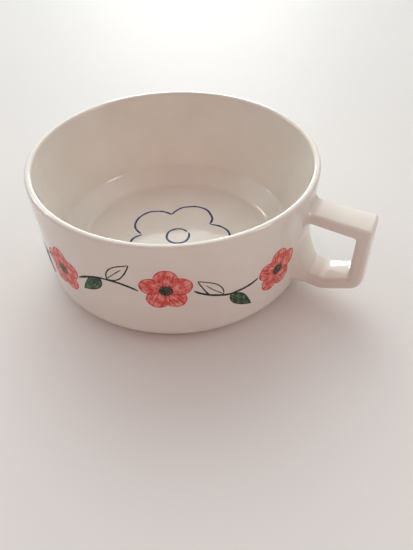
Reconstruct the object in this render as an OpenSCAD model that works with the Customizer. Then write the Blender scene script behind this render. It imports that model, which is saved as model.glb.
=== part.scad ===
// Wide, low soup mug: a stoneware bowl on a foot ring with an angular handle luted on with slip,
// glazed inside and out, with a painted garland round the wall and a line flower on the floor.
// The origin is on the bowl's axis at table height, +Z is up and the handle points along +X.

/* [Bowl] */
// Outside diameter of the clay at the rim
rim_d = 125.2; // [112:0.2:140]
// Outside diameter of the clay where the wall line meets the underside
base_d = 119.2; // [108:0.2:124]
// Height of the clay from the table to the rim
bowl_h = 53.4; // [48:0.2:70]
// Clay thickness at the rim
rim_t = 2.2; // [2:0.1:4]
// Rounding of the two rim edges
rim_round = 0.9; // [0.5:0.1:0.9]
// Clay thickness beside the crease where the inside wall meets the cove
crease_wall_t = 7; // [5:0.2:9]
// Rounding of the outside lower corner
corner_r = 7; // [4:0.5:9]
// Thickness of the floor above the recess
floor_t = 6; // [4:0.2:8]
// Height of the sloping cove between the floor and the inside wall
cove_h = 7.6; // [5:0.2:10]
// Width of the cove seen from above
cove_w = 8.6; // [6:0.2:12]
// Rounding of the crease above the cove
crease_r = 3; // [1:0.5:5]
// Rounding where the cove runs into the floor
floor_r = 5; // [2:0.5:8]

/* [Foot] */
// Outside diameter of the foot ring
foot_d = 98; // [80:1:102]
// Width of the foot ring
foot_w = 4.5; // [3:0.5:8]
// Height of the foot ring below the underside of the wall
foot_h = 2; // [1.9:0.1:4]
// Depth of the recess inside the foot ring
recess_h = 2.6; // [1.9:0.1:4]
// Rounding of the edges the mug stands on
foot_round = 0.7; // [0.3:0.1:0.8]
// Rounding in the corners above the foot ring
foot_fillet = 0.8; // [0.6:0.1:1]

/* [Handle] */
// How far the grip stands out past the rim
handle_reach = 25.8; // [22:0.2:32]
// Drop from the rim to the upper outer corner of the handle
handle_drop = 11.4; // [9:0.2:14]
// Height of the grip from its upper to its lower outer corner
handle_h = 29.6; // [26:0.2:31]
// Thickness of the grip
grip_t = 4.8; // [4:0.1:6.5]
// Width of the grip
grip_w = 14.2; // [10:0.1:16]
// How far the foot of the grip leans in
grip_lean = 0.3; // [0:0.1:2]
// Thickness of the upper arm at the grip
upper_arm_t = 4.2; // [4:0.1:6.5]
// Thickness of the upper arm at the wall
upper_root_t = 3.7; // [3.6:0.1:6]
// Width of the upper arm at the wall
upper_root_w = 13.6; // [10:0.1:16]
// How much higher the upper arm is at the wall than at the grip
upper_rise = 1.6; // [0:0.1:3]
// Thickness of the lower arm
lower_arm_t = 4.8; // [4:0.1:6]
// Thickness of the lower arm at the wall
lower_root_t = 5.6; // [4:0.1:7]
// Width of the lower arm at the wall
lower_root_w = 15.6; // [11:0.1:16]
// How far the lower arm dips below the foot of the grip
dip_depth = 5.1; // [3:0.1:5.6]
// Distance of the dip from the end of the slip
dip_out = 2.2; // [2.2:0.1:4]
// How far the lower arm rises again from the dip to the wall
dip_rise = 2.5; // [1:0.1:3]
// Bend radius at the dip
dip_r = 6; // [4:0.5:6]
// Rounding of the upper outer corner
upper_corner_r = 1.8; // [1:0.1:5]
// Rounding of the lower outer corner
lower_corner_r = 6; // [3:0.1:8]
// Rounding of the two corners of the finger gap
gap_corner_r = 1.8; // [1.5:0.1:3]
// Rounding of the long edges
edge_r = 1.6; // [0.8:0.1:1.7]
// How far the broad faces of the handle bulge in their middle
face_crown = 0.7; // [0:0.1:1]

/* [Slip joints] */
// Thickness of the slip between an arm and the wall
slip_t = 0.6; // [0.3:0.1:1]
// How far the slip runs out along the upper arm
upper_slip_reach = 4; // [3:0.5:5]
// Hollow of the upper slip's fillet, from nearly a straight ramp at 0.1 to a quarter round at 0.7
upper_hollow = 0.55; // [0.1:0.05:1]
// Spread of the slip on the wall around the upper arm
upper_spread = 2.6; // [1.6:0.1:4]
// How far the slip runs out along the lower arm
lower_slip_reach = 6.5; // [3:0.5:7]
// Hollow of the lower slip's fillet, on the same scale
lower_hollow = 0.25; // [0.1:0.05:1]
// Spread of the slip on the wall above the lower arm
lower_spread_up = 13; // [6:0.2:14]
// Spread of the slip on the wall below the lower arm
lower_spread_down = 0.8; // [0.6:0.1:1.2]
// Spread of the slip on the wall beside the lower arm
lower_spread_side = 4.4; // [3:0.2:5]

/* [Finish] */
// Thickness of the glaze
glaze_t = 0.35; // [0.2:0.05:0.5]
// Height of bare clay left on the foot ring
bare_foot_h = 0.9; // [0.8:0.1:1.1]
// Thickness of the painted decoration
paint_t = 0.12; // [0.08:0.02:0.2]

/* [Garland] */
// Blossoms round the wall, evenly spaced with the handle between two of them
blossoms = 8; // [6:1:8]
// Drop from the rim to the middle of the garland
garland_drop = 24; // [20:0.5:28]
// Diameter of a blossom
blossom_d = 21; // [16:0.5:24]
// Diameter of one petal
petal_d = 9; // [7.5:0.5:11]
// Diameter of a blossom's heart
heart_d = 5.6; // [5:0.2:7]
// How far the blossoms stand above and below the middle in turn
garland_sway = 2.5; // [0:0.5:4]
// Width of the stem line
stem_w = 1.1; // [0.6:0.1:2]
// Bow of the stem between two blossoms
stem_bow = 4; // [2:0.5:6]
// Length of a leaf
leaf_l = 14; // [8:0.5:16]
// Width of a leaf
leaf_w = 6; // [4:0.5:8]

/* [Floor flower] */
// Diameter of the line flower on the floor
flower_d = 52; // [40:1:64]
// Diameter of one of its petals
flower_petal_d = 22; // [18:1:26]
// Diameter of its heart
flower_heart_d = 12; // [8:0.5:14]
// Width of its lines
flower_line = 1.2; // [0.6:0.1:2]

/* [Hidden] */
$fn = 144;

// Segments in each rounded corner of an outline, in each corner and each side of a handle section, and
// in a slip fillet
arc_steps = 8;
loop_steps = 6;
side_steps = 4;
fillet_steps = 8;
// Sizes of the rings that close a curved end, as shares of the end itself
cap_shares = [0.35, 0.7];
petals = 5;
leaf_angle = 38;
leaf_start = 1.5;

rim_r = rim_d / 2;
base_r = base_d / 2;
foot_r = foot_d / 2;
floor_z = recess_h + floor_t;
crease_z = floor_z + cove_h;

// Lean of the outside wall and the round corner below it
wall_way = unit([rim_r - base_r, bowl_h - foot_h]);
half_corner = acos(wall_way * [-1, 0]) / 2;
corner_mid = [base_r, foot_h] + unit(wall_way + [-1, 0]) * corner_r / sin(half_corner);
corner_top_z = foot_h + wall_way.y * corner_r / tan(half_corner);

function wall_line(z) = base_r + wall_way.x / wall_way.y * (z - foot_h);
function corner_line(z) = corner_mid.x + sqrt(pow(corner_r, 2) - pow(z - corner_mid.y, 2));
function wall_r(z) = z > corner_top_z ? wall_line(z) : corner_line(z);
function wall_x(y, z) = sqrt(pow(wall_r(z), 2) - pow(y, 2));
function glazed_r(z) = wall_line(z) + glaze_t / wall_way.y;

// Outlines of the bowl as [radius, height, rounding], each with the clay on its left
crease_in_r = wall_line(crease_z) - crease_wall_t;
rim_middle = [rim_r - rim_t / 2, bowl_h, 0];
recess_line = [
    [0, recess_h, 0],
    [foot_r - foot_w, recess_h, foot_fillet],
    [foot_r - foot_w, bare_foot_h, 0]
];
outside_line = [
    [foot_r, bare_foot_h, 0],
    [foot_r, foot_h, foot_fillet],
    [base_r, foot_h, corner_r],
    [rim_r, bowl_h, rim_round],
    rim_middle
];
inside_line = [
    rim_middle,
    [rim_r - rim_t, bowl_h, rim_round],
    [crease_in_r, crease_z, crease_r],
    [crease_in_r - cove_w, floor_z, floor_r],
    [0, floor_z, 0]
];
foot_line = [[foot_r - foot_w, 0, foot_round], [foot_r, 0, foot_round]];

// Corners of the handle seen from the side, as [distance from the axis, height]
grip_x = rim_r + handle_reach;
top_z = bowl_h - handle_drop;
foot_z = top_z - handle_h;
dip_z = foot_z - dip_depth;
root_x = rim_r + max(upper_slip_reach, lower_slip_reach) + slip_t;
dip_x = root_x + dip_out;
upper_root_z = top_z + upper_rise;
lower_root_z = dip_z + dip_rise;
grip_foot_x = grip_x - grip_lean;
gap_top_x = grip_x - grip_t;
gap_top_z = top_z - upper_arm_t;
gap_foot_x = grip_foot_x - grip_t;
gap_foot_z = between([dip_x, dip_z], [grip_foot_x, foot_z], gap_foot_x) + lower_arm_t;

// Outer and inner edge of the handle from the upper root round to the lower one
outer_edge = rounded([
    [root_x, between([rim_r, upper_root_z], [grip_x, top_z], root_x), 0],
    [grip_x, top_z, upper_corner_r],
    [grip_foot_x, foot_z, lower_corner_r],
    [dip_x, dip_z, dip_r],
    [root_x, between([rim_r, lower_root_z], [dip_x, dip_z], root_x), 0]
]);
inner_edge = rounded([
    [root_x, between([rim_r, upper_root_z - upper_root_t], [gap_top_x, gap_top_z], root_x), 0],
    [gap_top_x, gap_top_z, gap_corner_r],
    [gap_foot_x, gap_foot_z, gap_corner_r],
    [dip_x, dip_z + lower_arm_t, dip_r],
    [root_x, between([rim_r, lower_root_z + lower_root_t], [dip_x, dip_z + lower_arm_t], root_x), 0]
]);
last_station = len(outer_edge) - 1;

// A joint is [middle height, outer side up or down, thickness, width, station,
// spread on the outer side, spread on the gap side, spread beside the arm, reach, hollow]
upper_joint = [
    upper_root_z - upper_root_t / 2, 1, upper_root_t, upper_root_w, 0,
    upper_spread, upper_spread, upper_spread, upper_slip_reach, upper_hollow
];
lower_joint = [
    lower_root_z + lower_root_t / 2, -1, lower_root_t, lower_root_w, last_station,
    lower_spread_down, lower_spread_up, lower_spread_side, lower_slip_reach, lower_hollow
];

function unit(v) = v / norm(v);
function flat(p) = [p.x, p.y];
function mix(a, b, t) = a + (b - a) * t;
function clamp(t) = min(1, max(0, t));
function backwards(list) = [for (i = [len(list) - 1 : -1 : 0]) list[i]];
function turned(v, a) = [v.x * cos(a) - v.y * sin(a), v.x * sin(a) + v.y * cos(a)];

// Height at x on the straight line from a to b
function between(a, b, x) = mix(a.y, b.y, (x - a.x) / (b.x - a.x));

// Arc of radius r that rounds the corner at b between a and c
function corner_arc(a, b, c, r) =
    let (
        back = unit(a - b),
        on = unit(c - b),
        half = acos(back * on) / 2,
        middle = b + unit(back + on) * r / sin(half),
        start = b + back * r / tan(half) - middle,
        turn = sign(cross(b - a, c - b)) * (180 - 2 * half)
    )
    [for (i = [0 : arc_steps]) middle + turned(start, turn * i / arc_steps)];

// Points along an outline of [x, y, rounding] corners
function rounded(line) = [
    for (i = [0 : len(line) - 1])
        each line[i][2] == 0
            ? [flat(line[i])]
            : corner_arc(flat(line[i - 1]), flat(line[i]), flat(line[i + 1]), line[i][2])
];

// Unit vector to the right of the way from a to b
function right_of(a, b) = let (way = unit(b - a)) [way.y, -way.x];

// The same outline moved by d to its right
function moved(line, d) = [
    for (i = [0 : len(line) - 1])
        let (
            here = flat(line[i]),
            next = i < len(line) - 1 ? right_of(here, flat(line[i + 1])) : undef,
            last = i > 0 ? right_of(flat(line[i - 1]), here) : next,
            after = is_undef(next) ? last : next,
            step = (last + after) / (1 + last * after),
            r = line[i][2]
        )
        [here.x + d * step.x, here.y + d * step.y, r == 0 ? 0 : r + d * sign(cross(last, after))]
];

// Rounded rectangle round a handle section, as [across the thickness, across the width]
function section_corner(middle, r, turn) = [
    for (i = [0 : loop_steps])
        let (a = turn + 90 * i / loop_steps)
        middle + r * [cos(a), sin(a)]
];
function section(half_t, half_w, r) =
    let (
        t = half_t - r,
        w = half_w - r,
        middles = [[t, w], [-t, w], [-t, -w], [t, -w]],
        corners = [for (i = [0 : 3]) section_corner(middles[i], r, 90 * i)]
    )
    [
        for (i = [0 : 3])
            let (from = corners[i][loop_steps], to = corners[(i + 1) % 4][0])
            each concat(corners[i], [for (k = [1 : side_steps - 1]) mix(from, to, k / side_steps)])
    ];

// A section laid on the bowl's wall, out from it by a distance
function on_wall(loop, middle_z, side, out) = [
    for (p = loop)
        let (z = middle_z + side * p.x)
        [wall_x(p.y, z) + out, p.y, z]
];

// Width of the handle at a distance from the axis, on the upper or the lower arm
function width_at(x, root_w) = mix(root_w, grip_w, clamp((x - rim_r) / (handle_reach - grip_t)));

// Ring round the handle at one of its stations, larger by grow on every side
function station_ring(i, grow = 0) =
    let (
        middle = (outer_edge[i] + inner_edge[i]) / 2,
        way = unit(outer_edge[i] - inner_edge[i]),
        half_t = norm(outer_edge[i] - inner_edge[i]) / 2,
        root_w = i < last_station / 2 ? upper_root_w : lower_root_w,
        half_w = width_at(middle.x, root_w) / 2
    )
    [
        for (p = section(half_t + grow, half_w + grow, edge_r + grow))
            let (
                bulge = face_crown * sign(p.x) * (1 - pow(p.y / (half_w + grow), 2)),
                place = middle + way * (p.x + bulge)
            )
            [place.x, p.y, place.y]
    ];
function station_rings(grow = 0) = [for (i = [0 : last_station]) station_ring(i, grow)];

// End of an arm at a joint, larger by grow on every side
function arm_loop(j, grow = 0) = section(j[2] / 2 + grow, j[3] / 2 + grow, edge_r + grow);
function arm_end(j, grow = 0) = on_wall(arm_loop(j, grow), j[0], j[1], slip_t);

// Outline of a joint's slip where it meets the wall
function slip_loop(j) = section((j[2] + j[5] + j[6]) / 2, j[3] / 2 + j[7], edge_r + j[7]);
function slip_middle(j) = j[0] + j[1] * (j[5] - j[6]) / 2;

// Ring of the slip's surface at a share of the way from the wall, 0, to the arm, 1, larger by grow
function fillet_ring(j, t, grow) =
    let (
        whole = pow(1 - t, 2) + 2 * j[9] * t * (1 - t) + pow(t, 2),
        out = j[8] * pow(t, 2) / whole,
        left = pow(1 - t, 2) / whole,
        grow_side = grow * (t == 1 ? 1 : sin(90 * t)),
        grow_out = grow * (t == 1 ? 0 : cos(90 * t)),
        end = arm_end(j, grow_side),
        way = station_ring(j[4], grow_side) - end,
        root = arm_loop(j),
        foot = slip_loop(j),
        shift = slip_middle(j) - j[0]
    )
    [
        for (k = [0 : len(end) - 1])
            let (
                arm = end[k] + way[k] * (out - slip_t) / way[k].x,
                y = arm.y + left * (foot[k].y - root[k].y),
                z = arm.z + left * (shift + j[1] * (foot[k].x - root[k].x)),
                wall_step = wall_x(y, z) - wall_x(end[k].y, end[k].z)
            )
            [arm.x + left * wall_step + grow_out, y, z]
    ];
function fillet_rings(j, grow = 0) = [
    for (i = [0 : fillet_steps]) fillet_ring(j, i / fillet_steps, grow)
];

// Rings that close a curved end, from near its middle outwards
function cap_rings(loop, middle_z, side, out) = [
    for (share = cap_shares) on_wall(share * loop, middle_z, side, out)
];
function cap_middle(middle_z, out) = [wall_r(middle_z) + out, 0, middle_z];

// Triangles between ring k and ring m of n points each
function band(k, m, n) = [
    for (i = [0 : n - 1])
        let (next = (i + 1) % n)
        each [[k * n + i, m * n + next, m * n + i], [k * n + i, k * n + next, m * n + next]]
];

// Solid skinned over rings, closed by a point at each end
module capped_loft(first, rings, last) {
    n = len(rings[0]);
    count = len(rings);
    polyhedron(
        points = concat([for (ring = rings) each ring], [first, last]),
        faces = concat(
            [for (k = [0 : count - 2]) each band(k, k + 1, n)],
            [for (i = [0 : n - 1]) [count * n, (i + 1) % n, i]],
            [for (i = [0 : n - 1]) [count * n + 1, (count - 1) * n + i, (count - 1) * n + (i + 1) % n]]
        ),
        convexity = 6
    );
}

// Solid skinned over rings that come back to the first one
module endless_loft(rings) {
    n = len(rings[0]);
    count = len(rings);
    polyhedron(
        points = [for (ring = rings) each ring],
        faces = [for (k = [0 : count - 1]) each band(k, (k + 1) % count, n)],
        convexity = 6
    );
}

// Coat of a given thickness on an outline of the bowl
module coat(line, thickness) {
    rotate_extrude()
        polygon(concat(rounded(line), backwards(rounded(moved(line, thickness)))));
}

module bowl() {
    color([0.87, 0.82, 0.74])
        rotate_extrude()
            polygon(rounded(concat(
                [recess_line[0], recess_line[1]],
                foot_line,
                [outside_line[1], outside_line[2], outside_line[3]],
                [inside_line[1], inside_line[2], inside_line[3], inside_line[4]]
            )));
}

module handle() {
    upper = upper_joint;
    lower = lower_joint;
    color([0.87, 0.82, 0.74])
        capped_loft(
            cap_middle(upper[0], slip_t),
            concat(
                cap_rings(arm_loop(upper), upper[0], upper[1], slip_t),
                [arm_end(upper)],
                station_rings(),
                [arm_end(lower)],
                backwards(cap_rings(arm_loop(lower), lower[0], lower[1], slip_t))
            ),
            cap_middle(lower[0], slip_t)
        );
}

module slip_joint(j) {
    middle_z = slip_middle(j);
    rings = concat(
        cap_rings(slip_loop(j), middle_z, j[1], 0),
        fillet_rings(j),
        [arm_end(j)],
        backwards(cap_rings(arm_loop(j), j[0], j[1], slip_t))
    );
    first = cap_middle(middle_z, 0);
    last = cap_middle(j[0], slip_t);
    color([0.82, 0.77, 0.69])
        if (j[1] > 0)
            capped_loft(first, rings, last);
        else
            capped_loft(last, backwards(rings), first);
}

module upper_slip_joint() {
    slip_joint(upper_joint);
}

module lower_slip_joint() {
    slip_joint(lower_joint);
}

module inside_glaze() {
    color([0.93, 0.9, 0.85])
        coat(inside_line, glaze_t);
}

// Way through the outside glaze for a joint
module joint_window(j) {
    translate([0, 0, slip_middle(j)])
        rotate([90, 0, 90])
            linear_extrude(height = rim_d)
                polygon([for (p = slip_loop(j)) [p.y, j[1] * p.x]]);
}

module outside_glaze() {
    color([0.93, 0.9, 0.86])
        difference() {
            coat(outside_line, glaze_t);
            joint_window(upper_joint);
            joint_window(lower_joint);
        }
}

module handle_glaze() {
    function skin(grow) = concat(
        fillet_rings(upper_joint, grow),
        station_rings(grow),
        backwards(fillet_rings(lower_joint, grow))
    );
    color([0.93, 0.9, 0.86])
        endless_loft(concat(skin(glaze_t), backwards(skin(0))));
}

module base_glaze() {
    color([0.91, 0.88, 0.83])
        coat(recess_line, glaze_t);
}

// Children drawn on the side of the bowl at an angle and a height
module on_side(angle, z) {
    rotate([0, 0, angle])
        translate([0, 0, z])
            rotate([90, 0, 90])
                linear_extrude(height = rim_d)
                    children();
}

// Thin coat of paint on the straight part of the glazed wall, where the children reach through it
module painted() {
    low = corner_top_z;
    high = bowl_h - 2 * rim_round;
    intersection() {
        rotate_extrude()
            polygon([
                [glazed_r(low), low],
                [glazed_r(low) + paint_t, low],
                [glazed_r(high) + paint_t, high],
                [glazed_r(high), high]
            ]);
        children();
    }
}

garland_z = bowl_h - garland_drop;
blossom_step = 360 / blossoms;
function sway_side(i) = i % 2 == 0 ? 1 : -1;

// Children placed at every blossom
module at_blossoms() {
    for (i = [0 : blossoms - 1])
        on_side((i + 0.5) * blossom_step, garland_z + garland_sway * sway_side(i))
            children();
}

// Children placed between blossoms, turned over by turns, but not at the handle
module between_blossoms() {
    span = 2 * PI * glazed_r(garland_z) / blossoms;
    tilt = atan(2 * garland_sway / span);
    for (i = [1 : blossoms - 1])
        on_side(i * blossom_step, garland_z)
            rotate(sway_side(i) * tilt)
                mirror([0, i % 2, 0])
                    children();
}

module blossom_petals() {
    color([0.86, 0.33, 0.3])
        painted()
            at_blossoms()
                difference() {
                    for (i = [0 : petals - 1])
                        rotate(90 + i * 360 / petals)
                            translate([(blossom_d - petal_d) / 2, 0])
                                circle(d = petal_d);
                    circle(d = heart_d);
                }
}

module blossom_hearts() {
    color([0.1, 0.2, 0.14])
        painted()
            at_blossoms()
                circle(d = heart_d);
}

// Bowed line between two blossoms
stem_half = PI * glazed_r(garland_z) / blossoms - blossom_d / 2;
stem_r = (pow(stem_half, 2) + pow(stem_bow, 2)) / (2 * stem_bow);

module stem_shape() {
    intersection() {
        translate([0, stem_bow - stem_r])
            difference() {
                circle(r = stem_r + stem_w / 2);
                circle(r = stem_r - stem_w / 2);
            }
        translate([-stem_half, 0])
            square([2 * stem_half, stem_bow + stem_w]);
    }
}

// Pointed leaf from the origin along +X
module leaf_shape() {
    r = (pow(leaf_l, 2) + pow(leaf_w, 2)) / (4 * leaf_w);
    intersection_for(side = [-1, 1])
        translate([leaf_l / 2, side * (r - leaf_w / 2)])
            circle(r = r);
}

module garland_stems() {
    color([0.12, 0.24, 0.16])
        painted()
            between_blossoms()
                stem_shape();
}

module garland_leaves() {
    color([0.12, 0.26, 0.16])
        painted()
            between_blossoms() {
                translate([leaf_start, stem_bow + stem_w / 2])
                    rotate(leaf_angle)
                        leaf_shape();
                translate([-leaf_start, stem_bow - stem_w / 2])
                    rotate(180 + leaf_angle)
                        leaf_shape();
            }
}

// Flower outline with every edge drawn in by a distance
module flower_shape(inset) {
    for (i = [0 : petals - 1])
        rotate(90 + i * 360 / petals)
            translate([(flower_d - flower_petal_d) / 2, 0])
                circle(d = flower_petal_d - 2 * inset);
    circle(d = flower_d - flower_petal_d);
}

module floor_flower() {
    color([0.12, 0.2, 0.42])
        translate([0, 0, floor_z + glaze_t])
            linear_extrude(height = paint_t) {
                difference() {
                    flower_shape(0);
                    flower_shape(flower_line);
                }
                difference() {
                    circle(d = flower_heart_d);
                    circle(d = flower_heart_d - 2 * flower_line);
                }
            }
}

bowl();
handle();
upper_slip_joint();
lower_slip_joint();
inside_glaze();
outside_glaze();
handle_glaze();
base_glaze();
blossom_petals();
blossom_hearts();
garland_stems();
garland_leaves();
floor_flower();
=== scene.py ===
"""Looks of a glazed soup mug with a hand-drawn garland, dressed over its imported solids."""

import math
import random

import bmesh
import bpy
import numpy as np
from mathutils import Matrix, Vector, noise


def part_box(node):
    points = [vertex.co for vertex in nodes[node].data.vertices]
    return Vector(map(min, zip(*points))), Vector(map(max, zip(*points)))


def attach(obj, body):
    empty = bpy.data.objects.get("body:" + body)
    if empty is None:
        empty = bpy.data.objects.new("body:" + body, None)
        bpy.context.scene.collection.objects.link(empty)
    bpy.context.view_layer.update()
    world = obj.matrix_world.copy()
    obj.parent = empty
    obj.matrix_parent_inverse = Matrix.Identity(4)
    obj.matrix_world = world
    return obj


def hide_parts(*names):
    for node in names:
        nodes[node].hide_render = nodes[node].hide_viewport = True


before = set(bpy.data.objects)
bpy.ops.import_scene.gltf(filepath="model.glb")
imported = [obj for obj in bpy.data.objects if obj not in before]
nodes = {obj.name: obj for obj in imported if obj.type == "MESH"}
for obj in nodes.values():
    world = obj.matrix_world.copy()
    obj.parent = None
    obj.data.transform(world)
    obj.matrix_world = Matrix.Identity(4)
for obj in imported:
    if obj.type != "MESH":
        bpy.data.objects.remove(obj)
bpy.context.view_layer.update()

# Millimetres of the drawings in metres of the frame
MM = 0.001

# Camera, in millimetres, degrees and pixels: its lens, its place, its heading from +Y towards -X, its
# tilt below level and its roll. The sensor's size counts along the longer side, the picture's height.
IMAGE_HEIGHT_PX = 550
FOCAL_LENGTH_PX = 564
SENSOR = 36
CAMERA_PLACE = (100.7, -189.0, 179.1)
CAMERA_HEADING = 24.49
CAMERA_TILT = 42.54
CAMERA_ROLL = -1.12
NEAREST_SEEN = 10

# Garland, in millimetres and degrees
BLOSSOMS = 8
BLOSSOM_D = 21
PETALS = 5
PETAL_D = 9
HEART_D = 5.6
STEM_W = 1.1
STEM_BOW = 4
LEAF_L = 14
LEAF_W = 6
LEAF_START = 1.5
LEAF_ANGLE = 38

# Widths of the garland's drawn lines, and where the strokes across a petal lie, in shares of its radius
PETAL_LINE = 0.5
STROKE_LINE = 0.42
STROKES = (-0.5, -0.15, 0.2, 0.55)
SCRIBBLE_LINE = 0.4
LEAF_LINE = 0.55
RIB_LINE = 0.4

# Unsteady hand of the garland: sways of a petal's bearing, of its grain and of its line's start, in
# degrees, and the ranges of a petal's size and of a stroke's reach
PETAL_SWAY = 4
GRAIN_SWAY = 14
START_SWAY = 30
PETAL_SIZES = (0.95, 1.03)
STROKE_REACHES = (0.55, 0.85)

# Flower on the floor, in millimetres
FLOWER_D = 52
FLOWER_PETAL_D = 22
FLOWER_HEART_D = 12
FLOWER_LINE = 1.2
FLOWER_SHAKE = 0.5

# Handle's skin: how near corners are welded, in millimetres, and from what angle an edge stays sharp
WELD_DISTANCE = 0.002
SHARP_ANGLE = 50

# Table top: a disc, with its radius in metres
TABLE_RADIUS = 4
TABLE_CORNERS = 64

# Light: what the lamps face and how far off they are, in metres, and how bright the window panes are
MUG_MIDDLE = (0, 0, 0.03)
LAMP_DISTANCE = 1.5
PANE_GLOW = 10

# Paint, in millimetres: how far a mark is sunk into the glaze, how far a wash and a line stand proud of
# it, and the step between washes that overlap
SINK = 0.03
WASH_LIFT = 0.04
LINE_LIFT = 0.1
LAYER = 0.008

# Refraction of the glaze and of the colours under it
GLAZE_IOR = 1.5

# Sockets of a Mix node that mixes colours
MIX_FACTOR, MIX_A, MIX_B, MIX_RESULT = 0, 6, 7, 2

# Seed of the unsteady hand's noise, which would else start from the clock
HAND_SEED = 1
noise.seed_set(HAND_SEED)


def link(obj):
    bpy.context.scene.collection.objects.link(obj)
    return obj


# Shader nodes

def new_material(name):
    """A new material with its node tree and its Principled shader."""
    material = bpy.data.materials.new(name)
    material.use_nodes = True
    tree = material.node_tree
    shader = tree.nodes["Principled BSDF"]
    return material, tree, shader


def node(tree, kind, inputs=None, **settings):
    """A new node, its inputs each given a value or the socket that feeds it."""
    made = tree.nodes.new(kind)
    for key, value in settings.items():
        setattr(made, key, value)
    for key, value in (inputs or {}).items():
        if isinstance(value, bpy.types.NodeSocket):
            tree.links.new(value, made.inputs[key])
        else:
            made.inputs[key].default_value = value
    return made


def noise_at(tree, where, scale, detail=3.0, roughness=0.55):
    inputs = {"Vector": where, "Scale": scale, "Detail": detail, "Roughness": roughness}
    return node(tree, "ShaderNodeTexNoise", inputs).outputs["Fac"]


def maths(tree, operation, a, b):
    return node(tree, "ShaderNodeMath", {0: a, 1: b}, operation=operation).outputs[0]


def ramp(tree, fac, stops):
    """Colour ramp through (position, colour) stops."""
    made = node(tree, "ShaderNodeValToRGB", {"Fac": fac})
    elements = made.color_ramp.elements
    while len(elements) < len(stops):
        elements.new(0.5)
    for element, (position, colour) in zip(elements, stops):
        element.position = position
        element.color = (*colour, 1)
    return made.outputs["Color"]


def mix_colour(tree, fac, a, b, blend="MIX"):
    colours = [(*c, 1) if isinstance(c, tuple) else c for c in (a, b)]
    inputs = dict(zip((MIX_FACTOR, MIX_A, MIX_B), (fac, *colours)))
    return node(tree, "ShaderNodeMix", inputs, data_type="RGBA", blend_type=blend).outputs[MIX_RESULT]


def grey(value):
    return (value, value, value)


def bumped(tree, height, strength, distance, before=None):
    inputs = {"Height": height, "Strength": strength, "Distance": distance}
    if before is not None:
        inputs["Normal"] = before
    return node(tree, "ShaderNodeBump", inputs).outputs["Normal"]


# Materials

def glaze_material():
    """Glossy off-white glaze: cloudy tone, a few faint specks and a surface not quite flat."""
    material, tree, shader = new_material("glaze")
    where = node(tree, "ShaderNodeTexCoord").outputs["Object"]
    cloud = noise_at(tree, where, 38, detail=4)
    tone = ramp(tree, cloud, [(0.3, (0.80, 0.755, 0.685)), (0.7, (0.86, 0.825, 0.76))])
    speck_cells = node(tree, "ShaderNodeTexVoronoi", {"Vector": where, "Scale": 300})
    speck_pick = ramp(tree, speck_cells.outputs["Color"], [(0.955, grey(0)), (0.97, grey(1))])
    speck_spot = ramp(tree, speck_cells.outputs["Distance"], [(0.05, grey(1)), (0.16, grey(0))])
    speck = mix_colour(tree, 1.0, speck_pick, speck_spot, "MULTIPLY")
    shown = mix_colour(tree, speck, tone, (0.56, 0.45, 0.34))
    tree.links.new(shown, shader.inputs["Base Color"])
    gloss = ramp(tree, noise_at(tree, where, 90), [(0.35, grey(0.05)), (0.7, grey(0.10))])
    tree.links.new(gloss, shader.inputs["Roughness"])
    swell = bumped(tree, noise_at(tree, where, 60, detail=1), 0.25, 0.0006)
    peel = bumped(tree, noise_at(tree, where, 700, detail=1), 0.06, 0.0002, swell)
    tree.links.new(peel, shader.inputs["Normal"])
    shader.inputs["IOR"].default_value = GLAZE_IOR
    return material


def clay_material(name, light, dark):
    """Bare fired clay: fine grain, a few darker grains and a dry, faintly rough surface."""
    material, tree, shader = new_material(name)
    where = node(tree, "ShaderNodeTexCoord").outputs["Object"]
    tone = ramp(tree, noise_at(tree, where, 120, detail=6), [(0.3, dark), (0.7, light)])
    grains = ramp(tree, noise_at(tree, where, 2600, detail=2), [(0.66, grey(0)), (0.72, grey(0.5))])
    shown = mix_colour(tree, grains, tone, (0.40, 0.32, 0.25))
    tree.links.new(shown, shader.inputs["Base Color"])
    dry = bumped(tree, noise_at(tree, where, 1800, detail=4), 0.35, 0.0003)
    tree.links.new(dry, shader.inputs["Normal"])
    shader.inputs["Roughness"].default_value = 0.78
    return material


def crayon_material(name, pale, middle, dark):
    """Crayon-like underglaze colour: streaks along the marks' own grain, with paler gaps."""
    material, tree, shader = new_material(name)
    grain = node(tree, "ShaderNodeTexCoord").outputs["UV"]
    along = node(tree, "ShaderNodeMapping", {"Vector": grain, "Scale": (0.16, 1.5, 1)})
    streaks = noise_at(tree, along.outputs["Vector"], 1.0, detail=5, roughness=0.7)
    patches = noise_at(tree, grain, 0.32)
    level = maths(tree, "MULTIPLY", maths(tree, "ADD", streaks, patches), 0.5)
    colour = ramp(tree, level, [(0.40, dark), (0.49, middle), (0.58, pale)])
    tree.links.new(colour, shader.inputs["Base Color"])
    gloss = ramp(tree, streaks, [(0.3, grey(0.14)), (0.7, grey(0.24))])
    tree.links.new(gloss, shader.inputs["Roughness"])
    shader.inputs["IOR"].default_value = GLAZE_IOR
    shader.inputs["Specular IOR Level"].default_value = 0.25
    return material


def floor_material():
    """Matt white table top."""
    material, tree, shader = new_material("table")
    where = node(tree, "ShaderNodeTexCoord").outputs["Object"]
    cloud = noise_at(tree, where, 9, detail=5)
    tone = ramp(tree, cloud, [(0.3, (0.83, 0.825, 0.815)), (0.7, (0.85, 0.845, 0.835))])
    tree.links.new(tone, shader.inputs["Base Color"])
    shader.inputs["Roughness"].default_value = 0.55
    return material


# Places on the mug

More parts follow.
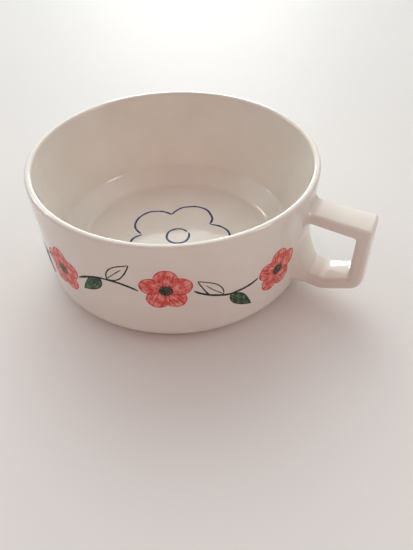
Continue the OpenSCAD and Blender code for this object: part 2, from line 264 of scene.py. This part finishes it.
def wall_cone():
    """The glazed wall's radius at height 0 and its growth per metre of height."""
    corners = np.array([v.co for v in nodes["outside_glaze"].data.vertices])
    radius = np.hypot(corners[:, 0], corners[:, 1])
    low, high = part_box("garland_leaves")
    ends = []
    for end, side in ((low.z, -1), (high.z, 1)):
        beyond = corners[:, 2] * side > end * side
        straight = beyond & (np.abs(corners[:, 2] - end) < 0.012)
        heights = corners[straight, 2]
        nearest = heights[np.argmin(np.abs(heights - end))]
        ring = straight & (np.abs(corners[:, 2] - nearest) < 1e-5)
        ends.append((nearest, radius[ring].max()))
    (z0, r0), (z1, r1) = ends
    slope = (r1 - r0) / (z1 - z0)
    return r0 - slope * z0, slope


wall_base, wall_slope = wall_cone()
heart_low, heart_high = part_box("blossom_hearts")
garland_z = (heart_low.z + heart_high.z) / 2
garland_sway = (heart_high.z - heart_low.z) / 2 / MM - HEART_D / 2
garland_r = wall_base + wall_slope * garland_z
blossom_step = math.tau / BLOSSOMS
floor_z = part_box("floor_flower")[0].z


def on_wall(angle):
    """Turns (across, up, lift) in millimetres at an angle round the wall into a point in metres."""
    def place(across, up, lift):
        z = garland_z + up * MM
        r = wall_base + wall_slope * z + lift * MM
        a = angle + across * MM / garland_r
        return (r * math.cos(a), r * math.sin(a), z)
    return place


def on_floor(across, up, lift):
    return (across * MM, up * MM, floor_z + lift * MM)


def polar(r, degrees):
    a = math.radians(degrees)
    return Vector((r * math.cos(a), r * math.sin(a)))


def turned(point, degrees):
    return Matrix.Rotation(math.radians(degrees), 2) @ Vector(point)


class Drawing:
    """A mesh of thin painted marks, each a closed solid on the glaze, made into one piece."""

    # Rings of a wash, in shares of the way to its outline, and a line's section, in half widths and lift
    RING_SHARES = (0.3, 0.55, 0.8, 1.0)
    BEAD = ((-1, 0), (-0.65, 1), (0.65, 1), (1, 0))

    # Unsteady hand: how far a wash's outline strays, and over what lengths outlines and lines sway
    WASH_SHAKE = 0.3
    WASH_SWAY = 4
    LINE_SWAY = 5

    # A line's width at its ends, its gain per step from there, how uneven it is and how fast it varies
    END_WIDTH = 0.45
    END_GAIN = 0.4
    UNEVEN = 0.3
    UNEVEN_PACE = 0.45

    # Range of the noise's random phase, and the layer of the noise that the width follows
    PHASES = 100
    WIDTH_LAYER = 3

    def __init__(self, seed):
        self.points = []
        self.grain = []
        self.faces = []
        self.hand = random.Random(seed)

    def add(self, place, across, up, lift, grain):
        self.points.append(place(across, up, lift))
        self.grain.append(turned((across, up), -grain))
        return len(self.points) - 1

    def shaky(self, path, amount, wavelength):
        """The path as an unsteady hand draws it."""
        phase = self.hand.uniform(0, self.PHASES)
        shaken = []
        run = 0
        last = path[0]
        for point in path:
            run += (point - last).length
            last = point
            shift = noise.noise_vector(Vector((run / wavelength, phase, 0)))
            shaken.append(point + amount * shift.xy)
        return shaken

    def line(self, place, path, width, lift=LINE_LIFT, shake=0.25, grain=0):
        """An open line along a path, thinner at its ends and uneven in its width."""
        path = self.shaky(path, shake, self.LINE_SWAY)
        phase = self.hand.uniform(0, self.PHASES)
        last = len(path) - 1
        rings = []
        for i, point in enumerate(path):
            way = (path[min(i + 1, last)] - path[max(i - 1, 0)]).normalized()
            side = Vector((-way.y, way.x))
            taper = min(1, self.END_WIDTH + self.END_GAIN * min(i, last - i))
            spot = Vector((i * self.UNEVEN_PACE, phase, self.WIDTH_LAYER))
            uneven = 1 + self.UNEVEN * noise.noise(spot)
            half = width / 2 * taper * uneven
            rings.append([
                self.add(place, *(point + side * half * x), -SINK + (lift + SINK) * y, grain)
                for x, y in self.BEAD
            ])
        count = len(self.BEAD)
        for a, b in zip(rings, rings[1:]):
            for k in range(count):
                n = (k + 1) % count
                self.faces.append((a[k], a[n], b[n], b[k]))
        self.faces.append(tuple(reversed(rings[0])))
        self.faces.append(tuple(rings[-1]))

    def wash(self, place, middle, outline, lift=WASH_LIFT, grain=0):
        """A filled patch inside a closed outline round a middle point."""
        outline = self.shaky(outline, self.WASH_SHAKE, self.WASH_SWAY)
        count = len(outline)

        def sheet(height, edge_height):
            rings = [[self.add(place, *middle, height, grain)]]
            for share in self.RING_SHARES:
                at = edge_height if share == 1 else height
                ring = [middle.lerp(p, share) for p in outline]
                rings.append([self.add(place, *p, at, grain) for p in ring])
            return rings

        top = sheet(lift, -SINK)
        bottom = sheet(-SINK, -SINK)
        bottom[-1] = top[-1]
        for rings, up in ((top, True), (bottom, False)):
            for k in range(count):
                n = (k + 1) % count
                fan = (rings[0][0], rings[1][k], rings[1][n])
                self.faces.append(fan if up else fan[::-1])
                for a, b in zip(rings[1:], rings[2:]):
                    quad = (a[k], b[k], b[n], a[n])
                    self.faces.append(quad if up else quad[::-1])

    def make(self, name, material, slot, *replaced):
        """Makes the marks one piece, in place of the solids that it replaces."""
        mesh = bpy.data.meshes.new(name)
        mesh.from_pydata(self.points, [], self.faces)
        layer = mesh.uv_layers.new(name="grain")
        for loop in mesh.loops:
            layer.data[loop.index].uv = self.grain[loop.vertex_index]
        mesh.materials.append(material)
        mesh.validate()
        tidy = bmesh.new()
        tidy.from_mesh(mesh)
        loose = [v for v in tidy.verts if not v.link_faces]
        bmesh.ops.delete(tidy, geom=loose, context="VERTS")
        bmesh.ops.recalc_face_normals(tidy, faces=tidy.faces)
        tidy.to_mesh(mesh)
        tidy.free()
        piece = link(bpy.data.objects.new(name, mesh))
        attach(piece, "root")
        if replaced:
            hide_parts(*replaced)


def arc(middle, radius, start, end, steps):
    return [middle + polar(radius, start + (end - start) * i / steps) for i in range(steps + 1)]


# Garland round the wall

red = Drawing(1)
red_lines = Drawing(2)
green = Drawing(3)
green_lines = Drawing(4)


def draw_blossom(place):
    """Five washed petals, each with an outline and a few strokes along its grain."""
    hand = red.hand
    for k in range(PETALS):
        out = 90 + k * 360 / PETALS + hand.uniform(-PETAL_SWAY, PETAL_SWAY)
        middle = polar((BLOSSOM_D - PETAL_D) / 2, out)
        radius = PETAL_D / 2 * hand.uniform(*PETAL_SIZES)
        outline = [
            middle + turned((radius * 1.04 * math.cos(a), radius * 0.97 * math.sin(a)), out)
            for a in (math.tau * i / 36 for i in range(36))
        ]
        grain = out + hand.uniform(-GRAIN_SWAY, GRAIN_SWAY)
        red.wash(place, middle, outline, lift=WASH_LIFT + k * LAYER, grain=grain)
        start = out + 180 + hand.uniform(-START_SWAY, START_SWAY)
        edge = arc(middle, radius * 0.97, start, start + 372, 44)
        red_lines.line(place, edge, PETAL_LINE, grain=grain)
        for side in STROKES:
            reach = radius * math.sqrt(1 - side * side) * hand.uniform(*STROKE_REACHES)
            ends = [middle + turned((x, side * radius), grain) for x in (-reach, reach)]
            path = [ends[0].lerp(ends[1], i / 8) for i in range(9)]
            red_lines.line(place, path, STROKE_LINE, lift=LINE_LIFT - 0.03, grain=grain)


def draw_heart(place):
    """A washed disc with a spiral scribble on it."""
    middle = Vector((0, 0))
    outline = arc(middle, HEART_D / 2, 0, 350, 35)
    green.wash(place, middle, outline, lift=LINE_LIFT, grain=green.hand.uniform(0, 180))
    scribble = [polar(HEART_D / 2 * (0.15 + 0.85 * i / 60), 31 * i) for i in range(61)]
    green_lines.line(place, scribble, SCRIBBLE_LINE, lift=LINE_LIFT + 0.02, shake=0.2)


def leaf_side(start, way, bow, steps=16):
    """One edge of a leaf from its root to its pointed tip, widest before the middle."""
    edge = []
    for i in range(steps + 1):
        t = i / steps
        half = LEAF_W / 2 * math.sin(math.pi * t ** 0.8) * (1 - 0.25 * t)
        edge.append(start + turned((LEAF_L * t, bow * half), way))
    return edge


def draw_leaf(place, start, way, filled, turn):
    """A drawn leaf with its rib, washed or left open."""
    edges = [turn(leaf_side(start, way, bow)) for bow in (1, -1)]
    rib = turn(leaf_side(start, way, 0))
    if filled:
        outline = edges[0] + edges[1][-2:0:-1]
        green.wash(place, rib[len(rib) // 2], outline, grain=way + 20)
    for edge in edges:
        green_lines.line(place, edge, LEAF_LINE)
    green_lines.line(place, rib[: len(rib) * 3 // 4], RIB_LINE)


def draw_stem(i, place):
    """The bowed stem with its two leaves between blossom i - 1 and blossom i."""
    span = math.tau * garland_r / BLOSSOMS / MM
    half = span / 2 - BLOSSOM_D / 2
    radius = (half * half + STEM_BOW * STEM_BOW) / (2 * STEM_BOW)
    even = i % 2 == 0
    tilt = math.degrees(math.atan(2 * garland_sway / span)) * (1 if even else -1)

    def turn(path):
        return [turned((p.x, p.y if even else -p.y), tilt) for p in path]

    stem = [
        Vector((x, STEM_BOW - radius + math.sqrt(radius * radius - x * x)))
        for x in (half * (k / 14 - 1) for k in range(29))
    ]
    green_lines.line(place, turn(stem), STEM_W)
    for side in (1, -1):
        start = Vector((side * LEAF_START, STEM_BOW + side * STEM_W / 2))
        way = LEAF_ANGLE if side > 0 else 180 + LEAF_ANGLE
        draw_leaf(place, start, way, filled=(i + (side > 0)) % 2 == 0, turn=turn)


for i in range(BLOSSOMS):
    sway = garland_sway if i % 2 == 0 else -garland_sway
    wall_place = on_wall((i + 0.5) * blossom_step)

    def raised(across, up, lift, place=wall_place, sway=sway):
        return place(across, up + sway, lift)

    draw_blossom(raised)
    draw_heart(raised)
for i in range(1, BLOSSOMS):
    draw_stem(i, on_wall(i * blossom_step))

red_crayon = crayon_material(
    "red_crayon", pale=(0.88, 0.40, 0.36), middle=(0.80, 0.15, 0.13), dark=(0.60, 0.04, 0.035))
red_line = crayon_material(
    "red_line", pale=(0.76, 0.17, 0.15), middle=(0.62, 0.06, 0.055), dark=(0.46, 0.025, 0.025))
green_crayon = crayon_material(
    "green_crayon", pale=(0.14, 0.26, 0.15), middle=(0.035, 0.095, 0.05), dark=(0.010, 0.026, 0.016))
green_line = crayon_material(
    "green_line", pale=(0.035, 0.06, 0.045), middle=(0.012, 0.022, 0.017), dark=(0.005, 0.009, 0.007))
navy_line = crayon_material(
    "navy_line", pale=(0.10, 0.13, 0.30), middle=(0.035, 0.05, 0.17), dark=(0.015, 0.02, 0.08))

red.make("petal_wash", red_crayon, "red_paint", "blossom_petals")
red_lines.make("petal_lines", red_line, "red_paint")
green.make("leaf_wash", green_crayon, "green_paint", "blossom_hearts", "garland_leaves")
green_lines.make("stem_lines", green_line, "green_paint", "garland_stems")


# Flower on the floor

navy = Drawing(5)
petal_r = (FLOWER_PETAL_D - FLOWER_LINE) / 2
petal_out = (FLOWER_D - FLOWER_PETAL_D) / 2
for k in range(PETALS):
    out = 90 + k * 360 / PETALS
    petal = arc(polar(petal_out, out), petal_r, out - 94, out + 92, 40)
    navy.line(on_floor, petal, FLOWER_LINE, shake=FLOWER_SHAKE)
heart_r = (FLOWER_HEART_D - FLOWER_LINE) / 2
heart = arc(Vector((0, 0)), heart_r, 60, 410, 40)
navy.line(on_floor, heart, FLOWER_LINE, shake=FLOWER_SHAKE)
navy.make("flower_lines", navy_line, "blue_paint", "floor_flower")


# Glaze and clay

glaze = glaze_material()
clay = clay_material("bare_clay", (0.74, 0.66, 0.56), (0.62, 0.53, 0.43))
slip = clay_material("bare_slip", (0.72, 0.64, 0.54), (0.60, 0.52, 0.42))


def dress(name, material):
    materials = nodes[name].data.materials
    materials.clear()
    materials.append(material)


for name in ("inside_glaze", "outside_glaze", "base_glaze"):
    dress(name, glaze)
for name in ("bowl", "handle"):
    dress(name, clay)
for name in ("upper_slip_joint", "lower_slip_joint"):
    dress(name, slip)


def handle_skin():
    """The handle's glaze with its facets welded and shaded as one smooth skin."""
    mesh = nodes["handle_glaze"].data.copy()
    mesh.name = "handle_skin"
    weld = bmesh.new()
    weld.from_mesh(mesh)
    bmesh.ops.remove_doubles(weld, verts=weld.verts, dist=WELD_DISTANCE * MM)
    bmesh.ops.recalc_face_normals(weld, faces=weld.faces)
    weld.to_mesh(mesh)
    weld.free()
    mesh.shade_smooth()
    mesh.set_sharp_from_angle(angle=math.radians(SHARP_ANGLE))
    mesh.materials.clear()
    mesh.materials.append(glaze)
    skin = link(bpy.data.objects.new("handle_skin", mesh))
    weighted = skin.modifiers.new("even_shading", "WEIGHTED_NORMAL")
    weighted.keep_sharp = True
    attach(skin, "root")
    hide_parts("handle_glaze")


handle_skin()


# Table, light and camera

def add_table():
    mesh = bpy.data.meshes.new("table")
    angles = [math.tau * i / TABLE_CORNERS for i in range(TABLE_CORNERS)]
    rim = [(TABLE_RADIUS * math.cos(a), TABLE_RADIUS * math.sin(a), 0) for a in angles]
    mesh.from_pydata(rim, [], [tuple(range(TABLE_CORNERS))])
    mesh.materials.append(floor_material())
    table = link(bpy.data.objects.new("table", mesh))


def seen_from_camera(bearing, elevation, distance):
    """A point in metres round the mug, its bearing in degrees to the right of the camera's heading."""
    a = math.radians(CAMERA_HEADING - bearing)
    rise = math.radians(elevation)
    level = distance * math.cos(rise)
    return Vector((-level * math.sin(a), level * math.cos(a), distance * math.sin(rise)))


def add_world(even, glows):
    """A studio dome: an even colour, and soft glows by (bearing, elevation, tightness, colour)."""
    world = bpy.data.worlds.new("studio")
    bpy.context.scene.world = world
    world.use_nodes = True
    tree = world.node_tree
    way = node(tree, "ShaderNodeTexCoord").outputs["Generated"]
    light = even
    for bearing, elevation, tightness, colour in glows:
        towards = seen_from_camera(bearing, elevation, 1)
        facing = node(tree, "ShaderNodeVectorMath", {0: way, 1: towards}, operation="DOT_PRODUCT")
        ahead = maths(tree, "MAXIMUM", facing.outputs["Value"], 0.0)
        glow = maths(tree, "POWER", ahead, tightness)
        tinted = node(tree, "ShaderNodeVectorMath", {0: colour, "Scale": glow}, operation="SCALE")
        added = node(tree, "ShaderNodeVectorMath", {0: tinted.outputs[0], 1: light}, operation="ADD")
        light = added.outputs[0]
    tree.links.new(light, tree.nodes["Background"].inputs["Color"])


def add_camera():
    data = bpy.data.cameras.new("camera")
    data.sensor_width = SENSOR
    data.lens = SENSOR * FOCAL_LENGTH_PX / IMAGE_HEIGHT_PX
    data.clip_start = NEAREST_SEEN * MM
    camera = link(bpy.data.objects.new("camera", data))
    heading = Matrix.Rotation(math.radians(CAMERA_HEADING), 4, "Z")
    tilt = Matrix.Rotation(math.radians(90 - CAMERA_TILT), 4, "X")
    roll = Matrix.Rotation(math.radians(CAMERA_ROLL), 4, "Z")
    camera.matrix_world = Matrix.Translation(Vector(CAMERA_PLACE) * MM) @ heading @ tilt @ roll
    bpy.context.scene.camera = camera


def add_lamp(name, bearing, elevation, size, glow, colour=(1, 1, 1)):
    """A flat lamp, sized in metres, that faces the mug and that the camera doesn't see."""
    data = bpy.data.lights.new(name, "AREA")
    data.shape = "RECTANGLE"
    data.size, data.size_y = size
    data.energy = glow * math.pi * size[0] * size[1]
    data.color = colour
    lamp = link(bpy.data.objects.new(name, data))
    lamp.location = seen_from_camera(bearing, elevation, LAMP_DISTANCE)
    lamp.rotation_euler = (Vector(MUG_MIDDLE) - lamp.location).to_track_quat("-Z", "Y").to_euler()
    lamp.visible_camera = False
    return lamp


def add_fill(name, bearing, elevation, size, glow, colour):
    """A soft box that lights the mug and isn't mirrored in its glaze."""
    add_lamp(name, bearing, elevation, size, glow, colour).visible_glossy = False


def add_pane(name, bearing, elevation, size):
    """A window pane that the glaze mirrors as a glint, and that lights nothing else."""
    add_lamp(name, bearing, elevation, size, PANE_GLOW).visible_diffuse = False


add_table()
add_world((0.15, 0.145, 0.136), [
    (0, 26, 6, (2.92, 3.07, 3.02)),
    (-45, 35, 8, (0.58, 0.61, 0.60)),
    (-90, 35, 8, (0.56, 0.59, 0.58)),
    (90, 35, 8, (0.88, 0.92, 0.90)),
])
add_fill("front_fill", 176, 42, (1.4, 1.0), 1.1, (1, 0.48, 0.44))
add_pane("back_window", 0, 19, (0.60, 0.28))
add_pane("left_window", -71, 27.5, (0.30, 0.22))
add_pane("left_back_window", -50, 37, (0.24, 0.36))
add_pane("right_window", 106, 37, (0.28, 0.52))
add_camera()

bpy.context.scene.view_settings.view_transform = "Standard"
